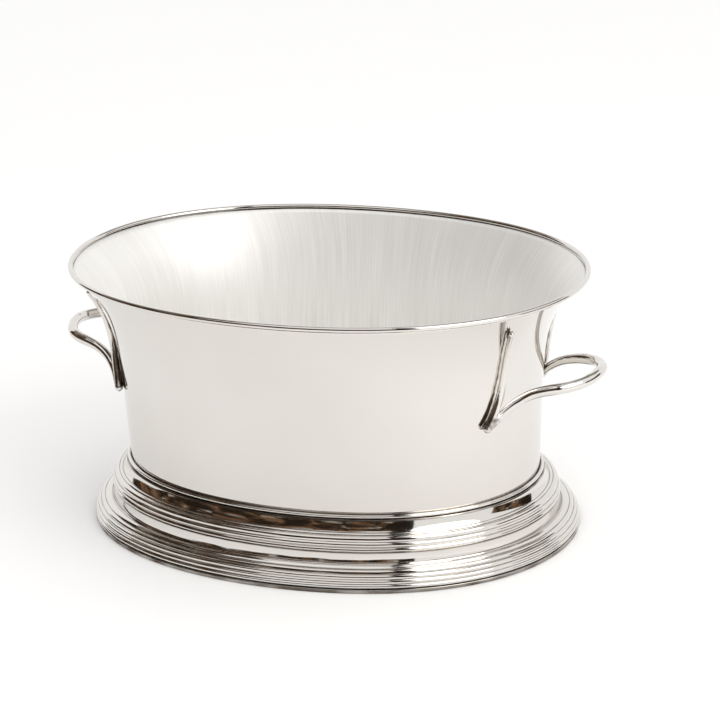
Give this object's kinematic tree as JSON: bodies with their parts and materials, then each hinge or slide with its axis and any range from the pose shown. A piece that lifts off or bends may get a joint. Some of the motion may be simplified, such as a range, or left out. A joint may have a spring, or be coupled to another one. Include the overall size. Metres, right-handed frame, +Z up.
{
  "type": "champagne bucket",
  "caption": "Oval silver champagne bath with a flared, rolled rim, a stepped and reeded oval base, and a bent rod handle brazed to each end.",
  "frame": {"origin": "on the floor, under the middle of the foot", "axes": "+X along the long axis of the oval through the right handle, +Y towards the back, +Z up"},
  "size_m": [0.4512, 0.3088, 0.2099],
  "materials": {
    "polished_silver": "mirror polished, with fine hand-polishing scratches",
    "satin_silver": "satin, brushed inside of the bowl",
    "braze_metal": "dull brazing metal",
    "core_wire": "plain drawn wire, hidden in the rim"
  },
  "bodies": {
    "root": {"bucket_wall": "polished_silver", "rim_roll": "polished_silver", "rim_core_wire": "core_wire", "bucket_floor": "satin_silver", "floor_braze": "braze_metal", "collar_bead": "polished_silver", "base_upper": "polished_silver", "base_lower": "polished_silver", "foot_ring": "polished_silver", "handle_right": "polished_silver", "handle_left": "polished_silver", "braze_right_front": "braze_metal", "braze_right_back": "braze_metal", "braze_left_front": "braze_metal", "braze_left_back": "braze_metal"}
  },
  "joints": []
}
